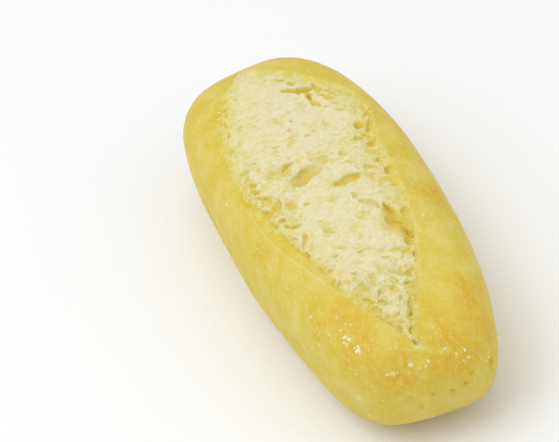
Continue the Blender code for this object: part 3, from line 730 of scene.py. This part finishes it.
def crumb_surface(along, share):
    """Top of the crumb, its gold, which is partly painted shade, how near a border, how open, how crusty
    at its edge and how bare it is.
    share goes 0 to 1 from the left border to the right one. The dome, less a drop that grows from each rim
    to its foot and fades over 5.5 mm, with the rim's lip outside it, moved along its normal by swells, by
    strands drawn out across the loaf, and down by holes. Round its border it clings to the crust."""
    left, right = crumb_borders(along)
    across = left + (right - left) * share
    x, y = on_plan(along, across)
    flat = np.stack([x, y, np.zeros_like(x)], -1)

    def wave(grain, seed):
        """Soft noise on the plan, with its grain in mm."""
        return soft_noise(flat, grain * MM, seed)

    # The drop below the dome from each rim, and how near a rim is.
    left_depth, right_depth = foot_depths(along)
    rims, feet = cut_edges(along), cut_feet(along)
    left_inside, right_inside = (across - rims[0]) * WIDTH / 2, (rims[1] - across) * WIDTH / 2
    right_slope = np.minimum(3 * MM, 0.4 * (rims[1] - rims[0]) * WIDTH / 2)
    slopes = (feet[0] - rims[0]) * WIDTH / 2 + 1e-9, right_slope + 1e-9
    far_left = 0.25 * held(2 - 4 * along)
    depths = left_depth * (far_left + 0.65 * skin_share(along + 0.08)), 0.30 * right_depth
    drop, nearness = 0.0, 0.0
    for inside, slope, depth, side in zip((left_inside, right_inside), slopes, depths, (-1, 1)):
        fall = held(inside / slope)
        lip = 0.7 * MM * lip_share(along, side) * bell(np.minimum(inside, 0), 3.1 * MM)
        drop = drop + depth * fall * np.exp(-np.maximum(inside - slope, 0) / (5.5 * MM))
        drop = drop - (lip + 0.12 * MM) * (1 - fall) * (inside > -4 * MM)
        nearness = nearness + np.exp(-np.maximum(inside - 0.5 * slope, 0) / (5 * MM))
    from_border = np.minimum(across - left, right - across) * WIDTH / 2
    from_tip = np.minimum(along - CRUMB_FAR_TIP, CRUMB_NEAR_TIP - along) * LENGTH / 2
    nearness = held(nearness)
    near_end = held((along - 0.45) * 5)
    # How open it is: most near the rims, in the near part and round the middle.
    rough = nearness + np.clip((along - 0.45) * 1.8, 0, 0.35) + 0.25 * bell(along + 0.06, 0.16)
    rough = np.clip(0.30 + 0.55 * rough + 0.30 * wave(8, 49), 0.08, 1)
    rough = rough * np.clip(0.5 + (along + 0.75) * 1.2, 0.5, 1)
    # Holes, pores and foam, on a plan bent so that none is a true ellipse.
    bend_x = x + 0.9 * MM * wave(3.2, 41) + 0.35 * MM * wave(1.2, 42)
    bend_y = y + 0.9 * MM * wave(3.2, 43) + 0.35 * MM * wave(1.2, 44)
    holes, gold_and_shade, lips, film = large_holes(bend_x, bend_y)
    pores = 1.5 * MM * bubbles(bend_x, bend_y, 4.6 * MM, 1.2, 0.62, 51) * held(rough * 1.6 - 0.6)
    pores = np.maximum(pores, 1.0 * MM * bubbles(bend_x, bend_y, 2.4 * MM, 1.3, 0.60, 52) * rough)
    pores = np.maximum(pores, 0.6 * MM * bubbles(bend_x, bend_y, 1.4 * MM, 1.4, 0.60, 53) * rough**0.5)
    cells, web = foam(bend_x, bend_y, 2.3 * MM, 1.25, 54)
    small_cells, small_web = foam(bend_x, bend_y, 1.15 * MM, 1.25, 55)
    web = np.maximum(web, 0.6 * small_web) * rough
    cells = 0.62 * MM * cells * rough + 0.28 * MM * small_cells * (0.35 + 0.65 * rough)
    # Swells, broad soft hollows, and strands drawn out across the loaf.
    swells = 0.50 * MM * wave(13, 45) + 0.30 * MM * wave(5, 46) + 0.08 * MM * wave(1.8, 50)
    broad = bubbles(bend_x + MM * wave(6, 57), bend_y, 10 * MM, 0.8, 0.75, 56) ** 2
    broad = np.maximum(broad, 0.8 * bubbles(bend_x, bend_y, 6 * MM, 0.9, 0.6, 58) ** 2)
    broad = broad * held(0.35 + 0.9 * rough)
    drawn = np.stack([bend_x + 2.5 * MM * wave(12, 59), bend_y, np.zeros_like(x)], -1)
    strands = 0.16 * MM * (0.4 - np.abs(soft_noise(drawn, (1.4 * MM, 8 * MM, MM), 47)))
    strands += 0.05 * MM * soft_noise(drawn, (0.8 * MM, 3 * MM, MM), 48)
    # What is sunk, and its gold: partly the crumb's own deeper yellow, partly painted shade that deepens
    # with the holes, pores, cells and broad hollows, and paler on the cell walls as a painted highlight.
    margin = held(from_border / (1.2 * MM))
    fine = np.maximum(pores, cells)
    tint_and_shade = 1.5 * fine * (0.4 + 0.6 * margin) - 0.18 * MM * web
    fine = fine * (0.25 + 0.75 * margin)
    sunk = np.maximum(holes, fine) + 0.45 * np.minimum(holes, fine) * (1 - film)
    tint_and_shade = np.maximum(tint_and_shade, 1.65 * MM * np.tanh(gold_and_shade / (1.6 * MM)) + 0.4 * tint_and_shade) + 0.8 * MM * broad
    by_right = bell(right_inside, 13 * MM) * held((0.35 - along) * 4)
    tint_and_shade = tint_and_shade + 0.16 * MM * by_right * held((along + 0.8) * 4)
    # What is raised. Along the left border of the near part the crumb lies flush with the rim.
    point = on_dome(along, across)
    flush = bell((across - left) * WIDTH / 2, 3.5 * MM) * near_end
    lift = 0.25 * MM * lips * (1 - held(holes / MM)) + 0.15 * MM * nearness + 0.06 * MM * web
    lift += 0.45 * MM * lumps(point) + 0.25 * MM * nearness * held(-0.3 - 2 * along) + 0.85 * MM * flush
    sunk = sunk * (1 - 0.25 * flush)
    film = np.maximum(film, 0.45 * held(1.2 * wave(4, 62) + 0.2) * held((along - 0.35) * 3))
    outward = normals_of(point)
    outward *= np.sign(outward[..., 2:])
    point = point + outward * (swells + strands + lift - sunk - drop - 0.9 * MM * broad)[..., None]
    # The borders and the tips are seated a hair below the crust, and the top stays under the highest swell.
    for column, away in ((0, across - left), (-1, right - across)):
        away = away * WIDTH / 2
        border = point[:, column]
        seat_error = (crust_height(border[:, 0], border[:, 1]) - border[:, 2])[:, None]
        point[..., 2] += seat_error * bell(away, 2.0 * MM) - 0.07 * MM * bell(away, 0.5 * MM)
    tip = bell(from_tip, 0.9 * MM)
    point[..., 2] += tip * (crust_height(point[..., 0], point[..., 1]) - 0.05 * MM - point[..., 2])
    highest = 59.8 * MM
    over = np.maximum(point[..., 2] - highest, 0)
    point[..., 2] = np.minimum(point[..., 2], highest) + 0.7 * MM * np.tanh(over / (0.7 * MM))
    # How much of the crust's colour its edge takes.
    reach = (2.6 + 2.0 * wave(5, 60) + 1.2 * wave(1.5, 61)) * MM
    reach = reach * (1 + 0.8 * held((-0.3 - along) * 5) * (across < 0))
    edge = 0.9 * np.exp(-np.maximum(from_border - 0.4 * MM, 0) / np.clip(reach, 0.5 * MM, None))
    return point, tint_and_shade, nearness, rough, edge * (1 - 0.45 * near_end), film


# Torn ciabatta crumb: moist starch, matt and slightly see-through, so light spreads in it. It gives the
# eye a pale cream with golden hollows and fine bright walls. The gold in the hollows and pinholes is partly
# painted shade, and the walls' brightness partly a painted highlight.
crumb_material, crumb_node = new_material("torn_semolina_crumb")
place = crumb_node("TexCoord").outputs["Object"]
hollow, openness, edge_share, film_share = (
    crumb_node("Attribute", attribute_name=name).outputs["Fac"]
    for name in ("hollow", "open", "edge", "film")
)
cloud = crumb_node("TexNoise", {"Vector": place, "Scale": 1 / (2.2 * MM), "Detail": 4.0})
drawn_place = crumb_node(
    "VectorMath", {0: place, 1: (1 / (1.1 * MM), 1 / (5 * MM), 1 / (1.1 * MM))}, operation="MULTIPLY"
).outputs[0]
streaks = crumb_node("TexNoise", {"Vector": drawn_place, "Scale": 1.0, "Detail": 2.0}).outputs["Fac"]
bent_place = crumb_node(
    "VectorMath", {0: cloud.outputs["Color"], 1: (2 * MM, 2 * MM, 2 * MM), 2: place},
    operation="MULTIPLY_ADD",
).outputs[0]
pinholes = crumb_node("TexVoronoi", {"Vector": bent_place, "Scale": 1 / (1.5 * MM)})
# A pinhole is there in some cells, deepest in their middles, and only where the crumb is open. Its gold is
# painted shade.
pinhole = openness
for name, low, high, least, most in (("Color", 0.45, 0.8, 0.0, 1.0), ("Distance", 0.15, 0.45, 1.0, 0.0)):
    factor = crumb_node(
        "MapRange",
        {"Value": pinholes.outputs[name], "From Min": low, "From Max": high, "To Min": least, "To Max": most},
    ).outputs["Result"]
    pinhole = crumb_node("Math", {0: pinhole, 1: factor}, operation="MULTIPLY").outputs[0]
for pattern, weight in ((cloud.outputs["Fac"], 0.50), (streaks, 0.35), (pinhole, 0.36)):
    hollow = crumb_node("Math", {0: pattern, 1: weight, 2: hollow}, operation="MULTIPLY_ADD").outputs[0]
hollow = crumb_node("Math", {0: hollow, 1: 0.41}, operation="SUBTRACT").outputs[0]
crumb_ramp = crumb_node("ValToRGB", {"Fac": hollow})
set_ramp(crumb_ramp, [(0.0, "#e8e2bf"), (0.22, "#e1d698"), (0.5, "#dcc757"), (1.0, "#cfae28")])
crumb_colour = crumb_ramp.outputs["Color"]
for share, code in ((edge_share, "#e6d46c"), (film_share, "#d3c27a")):
    crumb_colour = crumb_node(
        "Mix", {"Factor": share, "A": crumb_colour, "B": colour(code)}, data_type="RGBA"
    ).outputs["Result"]
crumb_bump = crumb_node("Bump", {"Height": hollow, "Strength": 0.22, "Distance": 0.7 * MM}).outputs["Normal"]
crumb_bump.node.invert = True
crumb_shader = crumb_node(
    "BsdfPrincipled",
    {"Base Color": crumb_colour, "Roughness": 0.8, "IOR": 1.4, "Normal": crumb_bump,
     "Subsurface Weight": 0.5, "Subsurface Radius": (1.0, 0.8, 0.4), "Subsurface Scale": 2 * MM},
)
crumb_node("OutputMaterial", {"Surface": crumb_shader.outputs[0]})

STATIONS, STRIPS, UNDER_STRIPS = 480, 190, 8
station = np.linspace(CRUMB_FAR_TIP, CRUMB_NEAR_TIP, STATIONS)[:, None]
strip = np.linspace(0, 1, STRIPS)[None, :]
strip = 0.65 * strip + 0.35 * (1 - np.cos(np.pi * strip)) / 2
station, strip = np.broadcast_arrays(station, strip)
crumb_top, tint_and_shade, nearness, rough, edge, film = crumb_surface(station, strip)
# The place on the colour ramp: painted shade from the sunk places, partly the crumb's own yellow, and more
# gold near the rims.
crumb_hollow = 0.02 + tint_and_shade / (2.8 * MM) + 0.14 * nearness - 0.02 * held((station - 0.35) * 3)
left_border, right_border = crumb_borders(station[:, :1])
under_across = left_border + (right_border - left_border) * np.linspace(1, 0, UNDER_STRIPS)[None, :]
under_along = np.broadcast_to(station[:, :1], under_across.shape)
under_side = on_dome(under_along, under_across, SLAB)
edge_left = crumb_top[:, :1] - TUCK * np.array([0, 0.3, 1])
edge_right = crumb_top[:, -1:] - TUCK * np.array([0, -0.3, 1])
crumb_grid = np.concatenate([edge_left, crumb_top, edge_right, under_side], 1)


def to_underside(value, under):
    """Values of the top, repeated on the two tucked edges, then one value for all of the underside."""
    below = np.full(under_across.shape, float(under))
    return np.concatenate([value[:, :1], value, value[:, -1:], below], 1).ravel()


crumb = make_piece(
    "crumb", fitted(crumb_grid).reshape(-1, 3), grid_faces(*crumb_grid.shape[:2], True), crumb_material,
    open_ends=True, hollow=np.clip(to_underside(crumb_hollow, 1), -0.2, 1),
    open=to_underside(rough, 1), edge=to_underside(edge, 1), film=0.65 * to_underside(film, 0),
)
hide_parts("loaf")

# ------------------------------------
# Floor, light and camera. White paper lies under the loaf, in a pale room with three soft lights. The
# camera is turned about its own axis, so that the loaf stands at a slant.

bpy.context.scene.view_settings.view_transform = "Standard"
floor_mesh = bpy.data.meshes.new("floor")
floor_mesh.from_pydata([(-3, -3, 0), (3, -3, 0), (3, 3, 0), (-3, 3, 0)], [], [(0, 1, 2, 3)])
floor_material, floor_node = new_material("white_paper")
floor_shader = floor_node("BsdfPrincipled", {"Base Color": colour("#fbfcfd"), "Roughness": 0.9})
floor_node("OutputMaterial", {"Surface": floor_shader.outputs[0]})
floor_mesh.materials.append(floor_material)
floor = add_object("floor", floor_mesh)

world = bpy.data.worlds.new("studio")
world.use_nodes = True
glow = world.node_tree.nodes["Background"].inputs
glow["Color"].default_value = (1, 1, 1, 1)
glow["Strength"].default_value = 0.52
bpy.context.scene.world = world

AZIMUTH, ELEVATION, ROLL = np.radians([76.115, 41.74, -13.166])
DISTANCE = 1.1
VIEW_WIDTH = 559  # pixels
PIXELS_PER_METRE = 2418.9  # at the loaf
AIM_RIGHT, AIM_DOWN = 60.1, 5.9  # pixels from the middle of the loaf to the middle of the view
SENSOR = 36  # millimetres, the camera's own unit
back = Vector((
    np.sin(AZIMUTH) * np.cos(ELEVATION), -np.cos(AZIMUTH) * np.cos(ELEVATION), np.sin(ELEVATION)
))
level_right = (-back).cross(Vector((0, 0, 1))).normalized()
level_up = level_right.cross(-back)
view_right, view_up = turned(level_right, level_up, ROLL)
target = Vector((0, 0, HEIGHT / 2))
eye = target + back * DISTANCE
aim = target - view_right * (AIM_RIGHT / PIXELS_PER_METRE) + view_up * (AIM_DOWN / PIXELS_PER_METRE)
forward = (aim - eye).normalized()
camera_right = forward.cross(view_up).normalized()
camera_up = camera_right.cross(forward)
camera_data = bpy.data.cameras.new("camera")
camera_data.sensor_width = SENSOR
camera_data.lens = SENSOR * PIXELS_PER_METRE * DISTANCE / VIEW_WIDTH
camera = add_object("camera", camera_data)
axes = Matrix((camera_right, camera_up, -forward)).transposed()
camera.matrix_world = Matrix.Translation(eye) @ axes.to_4x4()
bpy.context.scene.camera = camera


def soft_light(name, direction, distance, size, power):
    """A square area light that shines at the loaf from a direction."""
    data = bpy.data.lights.new(name, "AREA")
    data.size, data.energy = size, power
    light = add_object(name, data)
    light.location = target + direction.normalized() * distance
    light.rotation_mode = "QUATERNION"
    light.rotation_quaternion = direction.normalized().to_track_quat("Z", "Y")


soft_light("window_left", view_right * -0.9 + back * 0.5 + Vector((0, 0, 0.9)), 1.4, 1.2, 7)
soft_light("top_bank", Vector((-0.2, 0, 1)), 1.5, 1.6, 5.5)
soft_light("right_bank", view_right * 1.2 + back * 0.6 + Vector((0, 0, 0.6)), 1.5, 2.0, 5)
